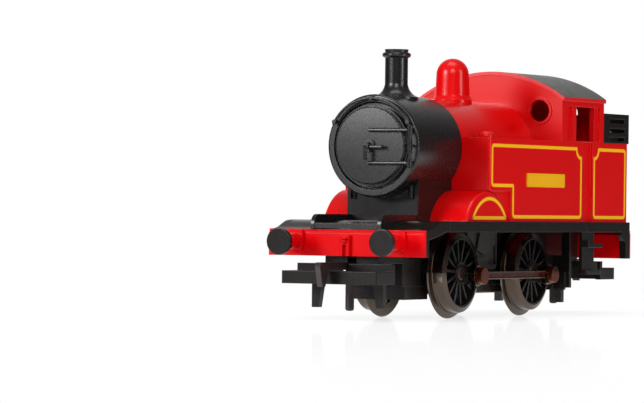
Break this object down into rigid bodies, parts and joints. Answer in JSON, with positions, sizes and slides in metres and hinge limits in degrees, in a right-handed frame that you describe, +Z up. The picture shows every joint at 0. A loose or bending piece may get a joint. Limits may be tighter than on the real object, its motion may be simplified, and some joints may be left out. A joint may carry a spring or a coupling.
{
  "type": "model steam locomotive",
  "caption": "Small model tank locomotive: round-topped boiler between side tanks, arched-roof cab, coal bunker, spoked wheels with coupling rods, and hook-and-bar couplings.",
  "frame": {"origin": "on the ground plane under the wheel flanges, midway between the two couplings and between the two sides", "axes": "+X towards the chimney end, +Y to the locomotive's left, +Z up"},
  "size_m": [0.1206, 0.039, 0.0545],
  "materials": {
    "red_plastic": "satin gloss red plastic with printed yellow lining",
    "black_plastic": "satin black plastic",
    "smokebox_black": "satin dark grey-black plastic",
    "roof_grey": "satin dark grey paint",
    "coal": "rough moulded coal",
    "nameplate_yellow": "printed yellow, blank",
    "steel": "bright turned steel",
    "dark_steel": "dark browned steel",
    "cast_grey": "bare grey cast metal",
    "bronze": "phosphor bronze",
    "white_plastic": "off-white nylon",
    "rod_bronze": "dark red-brown plated metal",
    "tyre_metal": "dull brown-grey plated metal"
  },
  "bodies": {
    "chassis": {"footplate": "black_plastic", "front_buffer_beam": "red_plastic", "rear_buffer_beam": "red_plastic", "buffer_shanks": "red_plastic", "buffer_heads": "black_plastic", "drawhooks": "red_plastic", "body_shell": "red_plastic", "splashers": "red_plastic", "boiler": "red_plastic", "dome": "red_plastic", "tank_fillers": "red_plastic", "cab_roof": "roof_grey", "cab_floor": "red_plastic", "backhead": "black_plastic", "coal_rails": "black_plastic", "coal_load": "coal", "nameplates": "nameplate_yellow", "smokebox": "smokebox_black", "saddle": "smokebox_black", "frame_plates": "smokebox_black", "smokebox_door": "smokebox_black", "door_hinges": "smokebox_black", "door_dart": "smokebox_black", "door_handrail": "smokebox_black", "chimney": "smokebox_black", "cab_steps": "black_plastic", "chassis_frame": "black_plastic", "keeper_plate": "black_plastic", "keeper_screws": "steel", "ballast_weights": "cast_grey", "axle_bushes": "bronze", "rear_hangers": "black_plastic", "rail_guards": "black_plastic", "front_coupling_frame": "black_plastic", "rear_coupling_frame": "black_plastic", "coupling_pivots": "steel", "coupling_screws": "steel", "motor_can": "steel", "motor_end_cap": "white_plastic", "motor_terminals": "bronze", "wheel_pickups": "bronze"},
    "front_wheelset": {"front_axle": "steel", "front_left_tyre": "tyre_metal", "front_right_tyre": "tyre_metal", "front_left_wheel": "black_plastic", "front_right_wheel": "black_plastic", "front_crankpins": "rod_bronze"},
    "rear_wheelset": {"rear_axle": "steel", "rear_left_tyre": "tyre_metal", "rear_right_tyre": "tyre_metal", "rear_left_wheel": "black_plastic", "rear_right_wheel": "black_plastic", "rear_crankpins": "rod_bronze", "axle_gear": "white_plastic"},
    "left_rod": {"left_coupling_rod": "rod_bronze"},
    "right_rod": {"right_coupling_rod": "rod_bronze"},
    "motor_rotor": {"motor_shaft": "steel", "worm": "bronze"},
    "front_hook": {"front_coupling_hook": "dark_steel"},
    "rear_hook": {"rear_coupling_hook": "dark_steel"}
  },
  "joints": [
    {"name": "rear_axle_spin", "type": "hinge", "parent": "chassis", "child": "rear_wheelset", "pos_m": [-0.0145, 0, 0.00941], "axis": [0, 1, 0], "continuous": true},
    {"name": "front_axle_spin", "type": "hinge", "parent": "chassis", "child": "front_wheelset", "pos_m": [0.0189, 0, 0.00941], "axis": [0, 1, 0], "continuous": true},
    {"name": "left_rod_pivot", "type": "hinge", "parent": "front_wheelset", "child": "left_rod", "pos_m": [0.0149, 0.012, 0.00878], "axis": [0, 1, 0], "continuous": true},
    {"name": "right_rod_pivot", "type": "hinge", "parent": "front_wheelset", "child": "right_rod", "pos_m": [0.01827, -0.012, 0.01341], "axis": [0, 1, 0], "continuous": true},
    {"name": "motor_spin", "type": "hinge", "parent": "chassis", "child": "motor_rotor", "pos_m": [-0.02, 0, 0.01461], "axis": [1, 0, 0], "continuous": true},
    {"name": "front_hook_lift", "type": "hinge", "parent": "chassis", "child": "front_hook", "pos_m": [0.0453, 0, 0.0108], "axis": [0, -1, 0], "range_deg": [0, 15]},
    {"name": "rear_hook_lift", "type": "hinge", "parent": "chassis", "child": "rear_hook", "pos_m": [-0.0453, 0, 0.0108], "axis": [0, 1, 0], "range_deg": [0, 15]}
  ],
  "couplings": [
    {"joint": "front_axle_spin", "follows": "rear_axle_spin", "ratio": 1},
    {"joint": "left_rod_pivot", "follows": "rear_axle_spin", "ratio": -1},
    {"joint": "right_rod_pivot", "follows": "rear_axle_spin", "ratio": -1},
    {"joint": "motor_spin", "follows": "rear_axle_spin", "ratio": -16}
  ]
}
